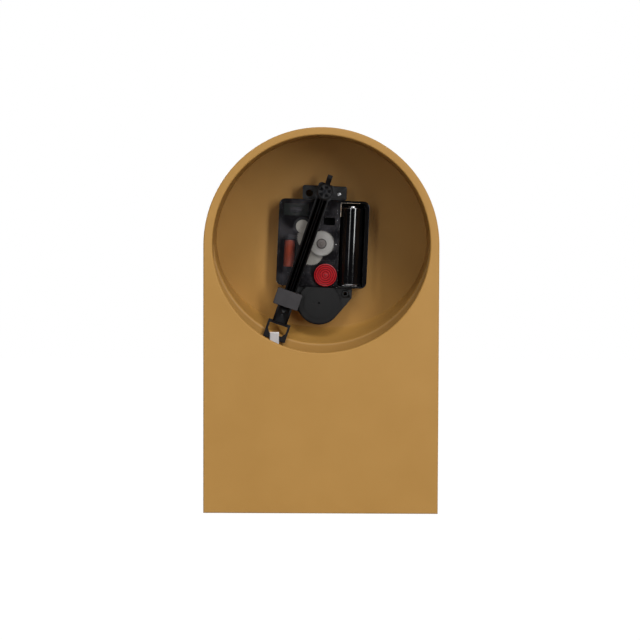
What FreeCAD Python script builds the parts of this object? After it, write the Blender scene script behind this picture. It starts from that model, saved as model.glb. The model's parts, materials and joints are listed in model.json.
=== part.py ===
import FreeCAD, Part
import math
import os

# A round-topped shelf clock, seen in full: a painted sheet steel case with a round hole in its
# back, a quartz movement behind the dial, and a pendulum driven by a coil under the movement.
# Every size is in millimetres and every angle in degrees.
# +X is to the right as seen from the dial, +Y points to the back and +Z points up.
# The origin is the middle of the base, on the surface that the clock stands on.

V = FreeCAD.Vector
OUT = "parts"

# Case
case_width = 140.0
case_height = 230.0
case_depth = 75.0
sheet = 1.5                     # thickness of the band, the base and the back
edge_bevel = 0.6                # bevel of the outer edges
rim_width = 5.4                 # back plate left beside the hole
opening_rise = 0.8              # its centre lies this far above the dial's centre
panel_thickness = 2.5
panel_recess = 7.5              # the dial panel sits this far inside the band
shelf_thickness = 1.5           # curved floor under the movement
shelf_over_hole = 0.8           # its lowest line, above the lowest edge of the hole in the back
shelf_end_drop = 6.0            # its ends stop this far below the centre of its curve
shelf_flange_height = 11.0      # its rear edge is turned down this far
shelf_to_pendulum = 1.5
window_width = 96.0
window_bottom = 14.0
window_corner = 14.0
window_to_markers = 21.0
window_corner_limit_share = 0.45
overrun = 1.0                   # how far each cut runs past the face it cuts

# Dial and hands
marker_count = 12
marker_edge = 9.5               # from the markers to the band
marker_length = 7.0
quarter_marker_length = 11.0
marker_width = 2.4
marker_thickness = 1.0
hand_thickness = 0.5
hand_hub_radius = 4.2
hour_hand_length = 33.0
hour_hand_root_width = 4.4
hour_hand_tip_width = 3.0
hour_hand_tail = 9.0
minute_hand_to_markers = 3.0
minute_hand_root_width = 3.6
minute_hand_tip_width = 2.2
minute_hand_tail = 12.0
shown_minute_count = 10.0
shown_hour_count = 10.0
nut_across_flats = 12.0
nut_sides = 6
nut_thickness = 2.0
nut_washer_radius = 7.0
nut_washer_thickness = 0.5
bush_past_nut = 0.5             # thread left standing out of the nut
pipe_past_bush = 1.4            # hour pipe standing out of the bush
arbor_past_pipe = 1.6           # minute arbor standing out of the hour pipe
hand_from_pipe_end = 0.3        # each hand sits this far behind the end of what carries it
rubber_washer_thickness = 1.0
rubber_washer_radius = 9.0

# Movement body, on the dial's centre
movement_tilt_angle = 2.3       # the whole movement is turned a little on its nut
body_width = 56.0
body_top = 28.0                 # above the dial's centre
body_bottom = 27.5              # below it
body_corner = 4.0
body_wall = 1.2
bay_wall_height = 14.0          # bay walls, from the body's floor
cover_seat_height = 12.0        # walls that carry the cover, from the body's floor
bay_width = 15.6                # inside the battery bay
bay_flank = 1.6                 # its outer wall stands out this far beside the body
bay_slit = 0.6                  # floor left under the battery
post_radius = 1.5
post_places_share = ((0.14, 0.34), (0.14, -0.42), (0.44, 0.42), (-0.12, 0.43))
clearance = 0.2                 # running gap beside what turns
fit_gap = 0.05                  # running gap round a pivot

# Smoked cover over the wheels
cover_thickness = 1.2
raised_thickness = 0.6
raised_bottom = 10.5            # the raised panel ends this far below the dial's centre
raised_margin = 1.8
cover_boss_radius = 3.0
cover_boss_height = 0.5
slot_width = 7.2
slot_height = 4.9
slot_left = 4.4                 # slot centre, towards the battery
slot_up = 14.5
recess_depth = 1.2              # well round the setting knob
recess_wall = 0.8
recess_half_width = 7.5
recess_half_height = 6.4

# Pendulum frame, the black moulding behind and below the body
frame_thickness = 1.6
frame_half_width = 20.8
bracket_width = 28.1
bracket_offset = 0.65           # towards the battery
bracket_top = 37.0
bracket_height = 11.9
bracket_corner = 1.2
hanger_hole_radius = 2.2
hanger_hole_across = 9.2
rivet_across = 9.8
rivet_radius = 1.1
rivet_stand = 0.5
ear_up = 32.0                   # hole and rivet, above the dial's centre
foot_height = 10.0              # lower block, from the frame's plate
foot_shoulder = 34.0            # where its sides start to slant, below the dial's centre
foot_slant_share = (0.5, 0.68)
coil_down = 37.6                # drive coil, below the dial's centre
foot_round_radius = 14.2
well_radius = 9.3
cap_radius = 13.0
cap_height = 4.4
cap_disc_radius = 9.8
cap_disc_height = 0.6
cap_hole_radius = 0.6
cap_dimple_radius = 0.9
cap_dimple_across = 3.4
cap_dimple_depth = 0.3
boss_radius = 2.5
boss_hole_radius = 1.2
boss_height = 0.6
boss_across = 16.5
boss_down = 31.3
coil_core_radius = 2.6
coil_outer_radius = 8.8
coil_end_gap = 0.4

# Pendulum arm, hanging from the pivot
pivot_up = 33.0
pivot_post_radius = 3.0
pivot_post_height = 4.2
pivot_radius = 0.9
pivot_head_radius = 1.4
pivot_head_thickness = 0.5
arm_lean_angle = 18.9           # how far the arm leans in the stored pose
hub_width = 10.5
hub_corner = 2.0
hub_thickness = 4.0
hub_boss_radius = 4.7
hub_boss_height = 1.5
hub_pocket_count = 5            # pockets between the ribs of the hub's star
hub_pocket_inner = 1.9
hub_pocket_outer = 3.9
hub_pocket_width_share = 0.3
hub_pocket_depth = 1.0
stub_width = 3.2
stub_length = 5.8
stub_thickness = 2.4
arm_width_top = 8.3
arm_width_bottom = 7.3
arm_web_thickness = 1.2
arm_rail_height = 3.0
arm_rail_width = 1.2
arm_rib_width = 0.7
arm_rib_across = 1.5
arm_lift = 0.4                  # the arm's web lies this far behind the hub's front face
box_down = 71.5
box_width = 16.2
box_length = 10.4
box_depth = 5.8
box_wall = 1.0
box_corner = 0.8
neck_width = 9.5
neck_length = 10.3
neck_rail_width = 1.3
neck_rail_height = 1.1
neck_dimple_radius = 0.9
loop_width = 14.6
loop_bar = 1.4
loop_top_bar = 1.8
loop_thickness = 2.0
loop_lift = 1.4
loop_corner_share = 0.36
hook_bar_height = 3.0
loop_length = 11.7

# Strip rod, bob and rating nut
rod_width = 5.6
rod_thickness = 0.5
rod_bend_share = 0.9            # outer radius of its bends, in thicknesses
hook_side_gap = 0.3
hook_top_gap = 1.25             # room for the rod to stay plumb while the arm leans
hook_tail = 6.0
bob_radius = 18.0
bob_thickness = 6.0
bob_rim_thickness = 1.6
bob_height_share = 0.437        # its centre, on the way from the base up to the loop's bar
bob_slot_gap = 0.2
stud_radius = 1.1
stud_length = 6.5
rating_nut_radius = 3.2
rating_nut_thickness = 3.0
rating_nut_flutes = 12
rating_nut_flute_depth = 0.4
rod_foot_gap = 0.3

# Battery, a standard cell
cell_radius = 7.25
cell_length = 49.2
cell_nub_radius = 2.75
cell_nub_length = 1.3
cell_edge_bevel = 0.5
cell_from_wall = 0.4
contact_thickness = 0.4
contact_width = 9.0
contact_tab_width = 3.2
contact_tab_length = 9.0
contact_ridge_width = 5.0

# Setting knob
knob_radius = 7.2
knob_thickness = 2.3
knob_flutes = 30
knob_flute_depth = 0.35
knob_over_cover = 0.3
knob_groove_radius_share = 0.72
knob_groove_width = 0.5
knob_groove_depth = 0.3
knob_nub_radius = 0.9
knob_nub_height = 0.25
knob_shaft_radius = 1.2

# Wheels: tooth counts, centre distances and layers
cannon_teeth = 10
intermediate_teeth = 30
intermediate_pinion_teeth = 8
hour_teeth = 32
setting_teeth = 18
rotor_teeth = 6
reduction_teeth = 36
reduction_pinion_teeth = 10
second_teeth = 50
second_pinion_teeth = 8
third_teeth = 48
third_pinion_teeth = 6
centre_teeth = 60
motion_distance = 10.0          # dial centre to the intermediate wheel
third_distance = 9.0
reduction_distance = 9.24
rotor_distance = 8.4
third_bearing_angle = 135.0     # bearings run clockwise from the top, seen from the dial
reduction_bearing_angle = 70.0
intermediate_bearing_angle = 162.2
setting_bearing_angle = 211.98  # from the intermediate wheel to the setting pinion
rotor_bearing_angle = 28.0
wheel_thickness = 0.8
pinion_overlap = 0.15           # a pinion stands this far past the wheel it drives
layer_gap = 0.3
middle_plate_thickness = 0.8
arbor_radius = 0.5
minute_arbor_radius = 1.4
hour_pipe_radius = 2.5
bush_radius = 3.9
bush_hole_gap = 0.3
wheel_hub_radius = 1.6
second_hub_radius = 2.2
rotor_disc_radius = 4.2
magnet_radius = 2.8
addendum_share = 0.75           # tooth shape, in modules and in shares of the pitch
dedendum_share = 1.15
root_half_share = 0.29
tip_half_share = 0.1

# Step motor coil and circuit
coil_across = 20.5
coil_up = -7.0
coil_length = 19.0
coil_radius = 3.5
bobbin_flange_half = 4.0
bobbin_flange = 0.9
bobbin_tube = 1.9
bobbin_bore_half = 0.6          # half the height of its bore, round the stator's core
stator_thickness = 0.8
stator_leg = 2.4
stator_ring = 2.6
stator_gap = 0.5
board_thickness = 1.0
board_share = (0.33, 0.9, 0.62, 0.9)
crystal_radius = 1.4
crystal_length = 7.5

# Places worked out from the sizes above
half_width = case_width / 2
inner_half = half_width - sheet
dial_z = case_height - half_width
opening_radius = half_width - rim_width
marker_outer_radius = inner_half - marker_edge
marker_foot_radius = marker_outer_radius - marker_length
window_height = dial_z - marker_outer_radius - window_to_markers - window_bottom
front_y = -case_depth / 2
rear_y = case_depth / 2
plate_y = rear_y - sheet
panel_front_y = front_y + panel_recess
panel_back_y = panel_front_y + panel_thickness

frame_y = panel_back_y + rubber_washer_thickness
body_y = frame_y + frame_thickness
floor_y = body_y + body_wall
cover_y = body_y + cover_seat_height
cover_back_y = cover_y + cover_thickness
raised_y = cover_back_y + raised_thickness
bay_y = body_y + bay_wall_height
half_body = body_width / 2
bay_inner_x = -half_body + body_wall
bay_divide_x = bay_inner_x + bay_width
cell_x = bay_inner_x + bay_width / 2
cell_y = body_y + bay_slit + cell_radius + clearance

bracket_y = body_y + bracket_height
foot_y = body_y + foot_height
cap_y = foot_y + cap_height
cap_top_y = cap_y + cap_disc_height
post_y = bracket_y + pivot_post_height
hub_y = post_y + clearance
hub_back_y = hub_y + hub_thickness
hub_top_y = hub_back_y + hub_boss_height
arm_y = hub_y + arm_lift
loop_y = hub_y + loop_lift

nut_front_y = panel_front_y - nut_washer_thickness - nut_thickness
bush_front_y = nut_front_y - bush_past_nut
pipe_front_y = bush_front_y - pipe_past_bush
arbor_front_y = pipe_front_y - arbor_past_pipe

# Layers of the wheels, from the body's floor to the cover
hour_wheel_y = floor_y + layer_gap
intermediate_y = hour_wheel_y + wheel_thickness + layer_gap + pinion_overlap
middle_y = intermediate_y + wheel_thickness + pinion_overlap + layer_gap
train_y = middle_y + middle_plate_thickness
centre_y = train_y + layer_gap
third_y = centre_y + wheel_thickness + pinion_overlap + layer_gap
reduction_y = third_y + wheel_thickness + pinion_overlap + layer_gap
second_y = reduction_y + wheel_thickness + pinion_overlap + layer_gap

motion_module = 2 * motion_distance / (cannon_teeth + intermediate_teeth)
hour_module = 2 * motion_distance / (intermediate_pinion_teeth + hour_teeth)
setting_distance = motion_module * (intermediate_teeth + setting_teeth) / 2
third_module = 2 * third_distance / (second_pinion_teeth + third_teeth)
centre_module = 2 * third_distance / (third_pinion_teeth + centre_teeth)
reduction_module = 2 * reduction_distance / (reduction_pinion_teeth + second_teeth)
rotor_module = 2 * rotor_distance / (rotor_teeth + reduction_teeth)


# Shapes that many pieces share

def box(x0, x1, y0, y1, z0, z1):
    return Part.makeBox(x1 - x0, y1 - y0, z1 - z0, V(x0, y0, z0))


def disc(x, z, radius, y0, y1):
    return Part.makeCylinder(radius, y1 - y0, V(x, y0, z), V(0, 1, 0))


def drill(x, z, radius, y0, y1):
    """Cuts a round hole from y0 to y1, and runs past both."""
    return disc(x, z, radius, y0 - overrun, y1 + overrun)


def ring(x, z, outer, inner, y0, y1):
    return disc(x, z, outer, y0, y1).cut(drill(x, z, inner, y0, y1))


def prism(points, y0, y1):
    corners = [V(x, y0, z) for x, z in points]
    face = Part.Face(Part.makePolygon(corners + corners[:1]))
    return face.extrude(V(0, y1 - y0, 0))


def rounded_prism(x0, x1, z0, z1, radius, y0, y1):
    body = box(x0, x1, y0, y1, z0, z1)
    along_y = [e for e in body.Edges if e.BoundBox.YLength > e.BoundBox.XLength + e.BoundBox.ZLength]
    return body.makeFillet(radius, along_y)


def arch_prism(half, bottom, y0, y1):
    """A slab with straight sides and a half-round top about the dial's centre."""
    low_left = V(-half, y0, bottom)
    low_right = V(half, y0, bottom)
    high_right = V(half, y0, dial_z)
    high_left = V(-half, y0, dial_z)
    crown = V(0, y0, dial_z + half)
    edges = [
        Part.LineSegment(low_left, low_right).toShape(),
        Part.LineSegment(low_right, high_right).toShape(),
        Part.Arc(high_right, crown, high_left).toShape(),
        Part.LineSegment(high_left, low_left).toShape(),
    ]
    return Part.Face(Part.Wire(edges)).extrude(V(0, y1 - y0, 0))


def polar(x, z, radius, bearing):
    """The place at a radius and a clockwise bearing, as seen from the dial."""
    turn = math.radians(bearing)
    return x + radius * math.sin(turn), z + radius * math.cos(turn)


def bearing_to(start, end):
    return math.degrees(math.atan2(end[0] - start[0], end[1] - start[1]))


def tilted(shape):
    """Turns a piece of the movement with the whole movement."""
    turned = shape.copy()
    turned.rotate(V(0, 0, dial_z), V(0, 1, 0), -movement_tilt_angle)
    return turned


def tilted_place(place):
    turn = FreeCAD.Rotation(V(0, 1, 0), -movement_tilt_angle)
    moved = turn.multVec(V(place[0], 0, place[1] - dial_z))
    return moved.x, moved.z + dial_z


def gear(place, teeth, module, phase, y0, y1):
    """A toothed disc with one tooth centred on the bearing given as its phase."""
    pitch_radius = teeth * module / 2
    root = pitch_radius - dedendum_share * module
    tip = pitch_radius + addendum_share * module
    step = 360.0 / teeth
    corners = ((-root_half_share, root), (-tip_half_share, tip),
               (tip_half_share, tip), (root_half_share, root))
    points = []
    for index in range(teeth):
        for share, radius in corners:
            points.append(polar(place[0], place[1], radius, phase + (index + share) * step))
    return prism(points, y0, y1)


def mesh_phase(driver, driver_teeth, driver_phase, driven, driven_teeth):
    """The phase that puts a driven wheel's gap where the driver's tooth reaches into it."""
    bearing = bearing_to(driver, driven)
    offset = (bearing - driver_phase) * driver_teeth / 360.0
    return bearing + 180.0 - 360.0 / driven_teeth * (0.5 - offset)


def near(place, sideways, upward):
    return place[0] + sideways, place[1] + upward


# Places of the wheels and of what else sits on the movement, before it is tilted

dial_centre = (0.0, dial_z)
intermediate_place = polar(0, dial_z, motion_distance, intermediate_bearing_angle)
knob_place = polar(intermediate_place[0], intermediate_place[1], setting_distance, setting_bearing_angle)
third_place = polar(0, dial_z, third_distance, third_bearing_angle)
reduction_place = polar(0, dial_z, reduction_distance, reduction_bearing_angle)
rotor_place = polar(reduction_place[0], reduction_place[1], rotor_distance, rotor_bearing_angle)
coil_place = near(dial_centre, coil_across, coil_up)
drive_place = near(dial_centre, 0, -coil_down)
pivot_place = near(dial_centre, -bracket_offset, pivot_up)

cannon_phase = 0.0
intermediate_phase = mesh_phase(dial_centre, cannon_teeth, cannon_phase,
                                intermediate_place, intermediate_teeth)
intermediate_pinion_phase = 0.0
hour_phase = mesh_phase(intermediate_place, intermediate_pinion_teeth, intermediate_pinion_phase,
                        dial_centre, hour_teeth)
setting_phase = mesh_phase(intermediate_place, intermediate_teeth, intermediate_phase,
                           knob_place, setting_teeth)
rotor_phase = 0.0
reduction_phase = mesh_phase(rotor_place, rotor_teeth, rotor_phase, reduction_place, reduction_teeth)
reduction_pinion_phase = 0.0
second_phase = mesh_phase(reduction_place, reduction_pinion_teeth, reduction_pinion_phase,
                          dial_centre, second_teeth)
second_pinion_phase = 0.0
third_phase = mesh_phase(dial_centre, second_pinion_teeth, second_pinion_phase, third_place, third_teeth)
third_pinion_phase = 0.0
centre_phase = mesh_phase(third_place, third_pinion_teeth, third_pinion_phase, dial_centre, centre_teeth)


# Case

def arch_band():
    outer = arch_prism(half_width, 0, front_y, plate_y)
    front_rim = [e for e in outer.Edges if e.BoundBox.YMax < front_y + sheet and e.BoundBox.ZMax > sheet]
    outer = outer.makeChamfer(edge_bevel, front_rim)
    return outer.cut(arch_prism(inner_half, -overrun, front_y - overrun, plate_y + overrun))


def base_plate():
    return box(-inner_half, inner_half, front_y, plate_y, 0, sheet)


def back_plate():
    plate = arch_prism(half_width, 0, plate_y, rear_y)
    plate = plate.cut(drill(0, dial_z + opening_rise, opening_radius, plate_y, rear_y))
    rear_rim = [e for e in plate.Edges if e.BoundBox.YMin > plate_y + sheet / 2]
    return plate.makeChamfer(edge_bevel, rear_rim)


def front_panel():
    panel = arch_prism(inner_half, sheet, panel_front_y, panel_back_y)
    hole = drill(0, dial_z, bush_radius + bush_hole_gap, panel_front_y, panel_back_y)
    corner = min(window_corner, window_height * window_corner_limit_share)
    half_window = window_width / 2
    window_top = window_bottom + window_height
    window = rounded_prism(-half_window, half_window, window_bottom, window_top, corner,
                           panel_front_y - overrun, panel_back_y + overrun)
    return panel.cut(hole).cut(window)


def inner_shelf():
    """A sheet floor under the movement, bent like the arch, with its rear edge turned down.

    It ends in front of the pendulum and runs into the sides.
    """
    low_z = dial_z + opening_rise - opening_radius + shelf_over_hole
    centre_z = low_z + inner_half
    rear = hook_front_y - shelf_to_pendulum
    floor = ring(0, centre_z, inner_half + shelf_thickness, inner_half, panel_back_y, rear)
    flange = ring(0, centre_z, inner_half + shelf_flange_height, inner_half, rear - shelf_thickness, rear)
    room = box(-inner_half, inner_half, panel_back_y, rear, low_z - shelf_flange_height,
               centre_z - shelf_end_drop)
    return floor.fuse(flange).common(room).removeSplitter()


# Dial and hands

def hour_markers():
    bars = []
    for index in range(marker_count):
        length = quarter_marker_length if index % 3 == 0 else marker_length
        bar = box(-marker_width / 2, marker_width / 2, panel_front_y - marker_thickness, panel_front_y,
                  dial_z + marker_outer_radius - length, dial_z + marker_outer_radius)
        bar.rotate(V(0, 0, dial_z), V(0, 1, 0), index * 360.0 / marker_count)
        bars.append(bar)
    return Part.Compound(bars)


def baton_hand(length, tail, root_width, tip_width, bore, y0, bearing):
    outline = [(-root_width / 2, dial_z - tail), (root_width / 2, dial_z - tail),
               (tip_width / 2, dial_z + length), (-tip_width / 2, dial_z + length)]
    hand = prism(outline, y0, y0 + hand_thickness)
    hand = hand.fuse(disc(0, dial_z, hand_hub_radius, y0, y0 + hand_thickness))
    hand = hand.cut(drill(0, dial_z, bore, y0, y0 + hand_thickness))
    hand.rotate(V(0, 0, dial_z), V(0, 1, 0), bearing)
    return hand.removeSplitter()


def minute_hand():
    y0 = arbor_front_y + hand_from_pipe_end
    length = marker_foot_radius - minute_hand_to_markers
    return baton_hand(length, minute_hand_tail, minute_hand_root_width, minute_hand_tip_width,
                      minute_arbor_radius, y0, shown_minute_count * 360.0 / 60)


def hour_hand():
    y0 = pipe_front_y + hand_from_pipe_end
    return baton_hand(hour_hand_length, hour_hand_tail, hour_hand_root_width, hour_hand_tip_width,
                      hour_pipe_radius, y0, (shown_hour_count + shown_minute_count / 60) * 360.0 / 12)


def hand_nut():
    corner_radius = nut_across_flats / 2 / math.cos(math.pi / nut_sides)
    points = [polar(0, dial_z, corner_radius, index * 360.0 / nut_sides) for index in range(nut_sides)]
    nut = prism(points, nut_front_y, nut_front_y + nut_thickness)
    return nut.cut(drill(0, dial_z, bush_radius, nut_front_y, nut_front_y + nut_thickness))


def nut_washer():
    return ring(0, dial_z, nut_washer_radius, bush_radius + bush_hole_gap,
                panel_front_y - nut_washer_thickness, panel_front_y)


def rubber_washer():
    return ring(0, dial_z, rubber_washer_radius, bush_radius + bush_hole_gap, panel_back_y, frame_y)


def centre_bush():
    return ring(0, dial_z, bush_radius, hour_pipe_radius + fit_gap, bush_front_y, floor_y)


# Movement body

def movement_housing():
    low = dial_z - body_bottom
    high = dial_z + body_top
    shell = rounded_prism(-half_body, half_body, low, high, body_corner, body_y, bay_y)
    shell = shell.fuse(rounded_prism(-half_body - bay_flank, bay_divide_x, low, high, body_corner, body_y,
                                     bay_y))
    chamber_x0 = bay_divide_x + body_wall
    inside_low = low + body_wall
    inside_high = high - body_wall
    inner_corner = body_corner - body_wall
    chamber = rounded_prism(chamber_x0, half_body - body_wall, inside_low, inside_high, inner_corner,
                            floor_y, bay_y + overrun)
    bay = box(bay_inner_x, bay_divide_x, body_y + bay_slit, bay_y + overrun, inside_low, inside_high)
    seat = box(bay_divide_x, half_body + overrun, cover_y, bay_y + overrun, low - overrun, high + overrun)
    shell = shell.cut(chamber).cut(bay).cut(seat)
    for share_x, share_z in post_places_share:
        place = near(dial_centre, body_width * share_x, body_width * share_z)
        shell = shell.fuse(disc(place[0], place[1], post_radius, floor_y, middle_y))
    shell = shell.cut(disc(0, dial_z, bush_radius, body_y - overrun, floor_y + clearance / 2))
    return tilted(shell.removeSplitter())


def middle_plate():
    """Carries the front pivots of the going train, on posts that rise from the body's floor."""
    chamber_x0 = bay_divide_x + body_wall + clearance
    low = dial_z - body_bottom + body_wall + clearance
    high = dial_z + body_top - body_wall - clearance
    plate = rounded_prism(chamber_x0, coil_place[0] - bobbin_flange_half - clearance, low, high,
                          body_corner - body_wall, middle_y, train_y)
    holes = ((dial_centre, minute_arbor_radius), (knob_place, knob_shaft_radius),
             (third_place, arbor_radius), (reduction_place, arbor_radius),
             (rotor_place, arbor_radius), (intermediate_place, arbor_radius))
    for place, radius in holes:
        plate = plate.cut(drill(place[0], place[1], radius + fit_gap, middle_y, train_y))
    return tilted(plate.cut(cover_slot(middle_y - overrun, train_y + overrun)))


def cover_slot(y0, y1):
    """The opening in the cover, which goes on through the plate behind it."""
    x = -slot_left
    z = dial_z + slot_up
    return box(x - slot_width / 2, x + slot_width / 2, y0, y1, z - slot_height / 2, z + slot_height / 2)


def back_cover():
    low = dial_z - body_bottom
    high = dial_z + body_top
    side_x = half_body
    plate = rounded_prism(-half_body, side_x, low, high, body_corner, cover_y, cover_back_y)
    plate = plate.cut(box(-half_body - overrun, bay_divide_x, cover_y - overrun, cover_back_y + overrun,
                          low - overrun, high + overrun))
    raised = rounded_prism(bay_divide_x + raised_margin, side_x - raised_margin, dial_z - raised_bottom,
                           high - raised_margin, raised_margin, cover_back_y, raised_y)
    boss = disc(0, dial_z, cover_boss_radius, raised_y, raised_y + cover_boss_height)
    tray_x0 = max(knob_place[0] - recess_half_width, bay_divide_x + body_wall + recess_wall + clearance)
    tray_x1 = knob_place[0] + recess_half_width
    tray_z0 = max(knob_place[1] - recess_half_height, low + body_wall + recess_wall + clearance)
    tray_z1 = knob_place[1] + recess_half_height
    tray = rounded_prism(tray_x0 - recess_wall, tray_x1 + recess_wall, tray_z0 - recess_wall,
                         tray_z1 + recess_wall, body_corner - body_wall, cover_y - recess_depth, cover_y)
    well = rounded_prism(tray_x0, tray_x1, tray_z0, tray_z1, body_corner - body_wall - recess_wall,
                         cover_y - recess_depth + recess_wall, cover_back_y + overrun)
    slot = cover_slot(cover_y - overrun, raised_y + overrun)
    cover = plate.fuse(raised).fuse(boss).fuse(tray).cut(well).cut(slot)
    boss_top = raised_y + cover_boss_height
    cover = cover.cut(drill(0, dial_z, arbor_radius + fit_gap, cover_y, boss_top))
    cover = cover.cut(disc(knob_place[0], knob_place[1], knob_shaft_radius + fit_gap,
                           cover_y - recess_depth - overrun, cover_back_y + overrun))
    return tilted(cover.removeSplitter())


def under_body(y0, y1):
    """The room that the body takes, which cuts the round foot and its cap flat at their top."""
    return box(-half_body, half_body, y0 - overrun, y1 + overrun, dial_z - body_bottom - clearance, dial_z)


def pendulum_frame():
    plate = box(-frame_half_width, frame_half_width, frame_y, body_y, dial_z - foot_shoulder,
                dial_z + body_top + clearance)
    bracket_low = dial_z + body_top + clearance
    centre_x = -bracket_offset
    bracket = rounded_prism(centre_x - bracket_width / 2, centre_x + bracket_width / 2, bracket_low,
                            dial_z + bracket_top, bracket_corner, frame_y, bracket_y)
    post = disc(pivot_place[0], pivot_place[1], pivot_post_radius, bracket_y, post_y)
    foot_top = dial_z - body_bottom - clearance
    shoulder = dial_z - foot_shoulder
    slant_x = frame_half_width * foot_slant_share[0]
    slant_z = drive_place[1] - foot_round_radius * foot_slant_share[1]
    outline = [(-frame_half_width, foot_top), (frame_half_width, foot_top), (frame_half_width, shoulder),
               (slant_x, slant_z), (-slant_x, slant_z), (-frame_half_width, shoulder)]
    foot = prism(outline, frame_y, foot_y)
    foot = foot.fuse(disc(drive_place[0], drive_place[1], foot_round_radius, frame_y, foot_y))
    foot = foot.cut(under_body(frame_y, foot_y))
    frame = plate.fuse(bracket).fuse(post).fuse(foot)
    for side in (-1, 1):
        place = near(dial_centre, side * boss_across, -boss_down)
        boss_top = foot_y + boss_height
        frame = frame.fuse(disc(place[0], place[1], boss_radius, foot_y, boss_top))
        frame = frame.cut(drill(place[0], place[1], boss_hole_radius, frame_y, boss_top))
    frame = frame.cut(disc(drive_place[0], drive_place[1], well_radius, body_y, foot_y + overrun))
    frame = frame.cut(drill(0, dial_z, bush_radius, frame_y, body_y))
    frame = frame.cut(drill(hanger_hole_across, dial_z + ear_up, hanger_hole_radius, frame_y,
                           bracket_y))
    frame = frame.cut(drill(-rivet_across, dial_z + ear_up, rivet_radius, frame_y, bracket_y))
    frame = frame.cut(disc(pivot_place[0], pivot_place[1], pivot_radius, bracket_y, post_y + overrun))
    return tilted(frame.removeSplitter())


def drive_coil_cap():
    cap = disc(drive_place[0], drive_place[1], cap_radius, foot_y, cap_y)
    cap = cap.cut(under_body(foot_y, cap_y))
    cap = cap.fuse(disc(drive_place[0], drive_place[1], cap_disc_radius, cap_y, cap_top_y))
    cap = cap.cut(disc(drive_place[0], drive_place[1], cap_hole_radius, foot_y, cap_top_y + overrun))
    cap = cap.cut(disc(drive_place[0] + cap_dimple_across, drive_place[1], cap_dimple_radius,
                       cap_top_y - cap_dimple_depth, cap_top_y + overrun))
    return tilted(cap.removeSplitter())


def drive_coil():
    return tilted(ring(drive_place[0], drive_place[1], coil_outer_radius, coil_core_radius, body_y,
                       foot_y - coil_end_gap))


def bracket_rivet():
    shank = disc(-rivet_across, dial_z + ear_up, rivet_radius, frame_y, bracket_y + rivet_stand)
    return tilted(shank)


def pivot_pin():
    pin = disc(pivot_place[0], pivot_place[1], pivot_radius, bracket_y, hub_top_y + clearance)
    head = disc(pivot_place[0], pivot_place[1], pivot_head_radius, hub_top_y + clearance,
                hub_top_y + clearance + pivot_head_thickness)
    return tilted(pin.fuse(head).removeSplitter())


# Step motor and circuit

def stator_height():
    return centre_y + layer_gap


def stator():
    """Closed plate: the coil's core on one side and the rotor's ring on the other."""
    y0 = stator_height()
    y1 = y0 + stator_thickness
    ring_outer = magnet_radius + stator_gap + stator_ring
    core_x = coil_place[0]
    half_core = coil_length / 2 + stator_leg
    low = coil_place[1] - half_core
    high = coil_place[1] + half_core
    leg_x = core_x - bobbin_flange_half - clearance - stator_leg / 2
    half_leg = stator_leg / 2
    core = box(core_x - half_leg, core_x + half_leg, y0, y1, low, high)
    foot = box(leg_x - half_leg, core_x + half_leg, y0, y1, low, low + stator_leg)
    head = box(leg_x - half_leg, core_x + half_leg, y0, y1, high - stator_leg, high)
    leg = box(leg_x - half_leg, leg_x + half_leg, y0, y1, low, rotor_place[1])
    plate = core.fuse(foot).fuse(head).fuse(leg)
    plate = plate.fuse(disc(rotor_place[0], rotor_place[1], ring_outer, y0, y1))
    plate = plate.cut(drill(rotor_place[0], rotor_place[1], magnet_radius + stator_gap, y0, y1))
    return tilted(plate.removeSplitter())


def coil_post(radius, z0, z1):
    x = coil_place[0]
    y = stator_height() + stator_thickness / 2
    return Part.makeCylinder(radius, z1 - z0, V(x, y, z0))


def coil_bobbin():
    """A tube between two square flanges, on the stator's core."""
    low = coil_place[1] - coil_length / 2
    high = coil_place[1] + coil_length / 2
    x = coil_place[0]
    y = stator_height() + stator_thickness / 2
    half = bobbin_flange_half
    bore = stator_leg / 2 + clearance
    spool = coil_post(bobbin_tube, low, high)
    for z0 in (low, high - bobbin_flange):
        spool = spool.fuse(box(x - half, x + half, y - half, y + half, z0, z0 + bobbin_flange))
    spool = spool.cut(box(x - bore, x + bore, y - bobbin_bore_half, y + bobbin_bore_half, low - overrun,
                          high + overrun))
    return tilted(spool.removeSplitter())


def coil_winding():
    low = coil_place[1] - coil_length / 2 + bobbin_flange
    high = coil_place[1] + coil_length / 2 - bobbin_flange
    return tilted(coil_post(coil_radius, low, high).cut(coil_post(bobbin_tube, low, high)))


def circuit_board():
    x0, x1, z0, z1 = board_corners()
    return tilted(box(x0, x1, train_y, train_y + board_thickness, z0, z1))


def board_corners():
    left, right, low, high = board_share
    return half_body * left, half_body * right, dial_z + body_top * low, dial_z + body_top * high


def quartz_crystal():
    x0, x1, z0, z1 = board_corners()
    y = train_y + board_thickness + crystal_radius
    x = (x0 + x1 - crystal_length) / 2
    z = (z0 + z1) / 2
    return tilted(Part.makeCylinder(crystal_radius, crystal_length, V(x, y, z), V(1, 0, 0)))


# Battery and its contacts

def cell_foot():
    return dial_z - body_bottom + body_wall + contact_thickness + cell_from_wall


def battery():
    z0 = cell_foot()
    can = Part.makeCylinder(cell_radius, cell_length, V(cell_x, cell_y, z0))
    can = can.makeChamfer(cell_edge_bevel, [e for e in can.Edges if e.Closed])
    nub = Part.makeCylinder(cell_nub_radius, cell_nub_length, V(cell_x, cell_y, z0 + cell_length))
    return tilted(can.fuse(nub).removeSplitter())


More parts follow.
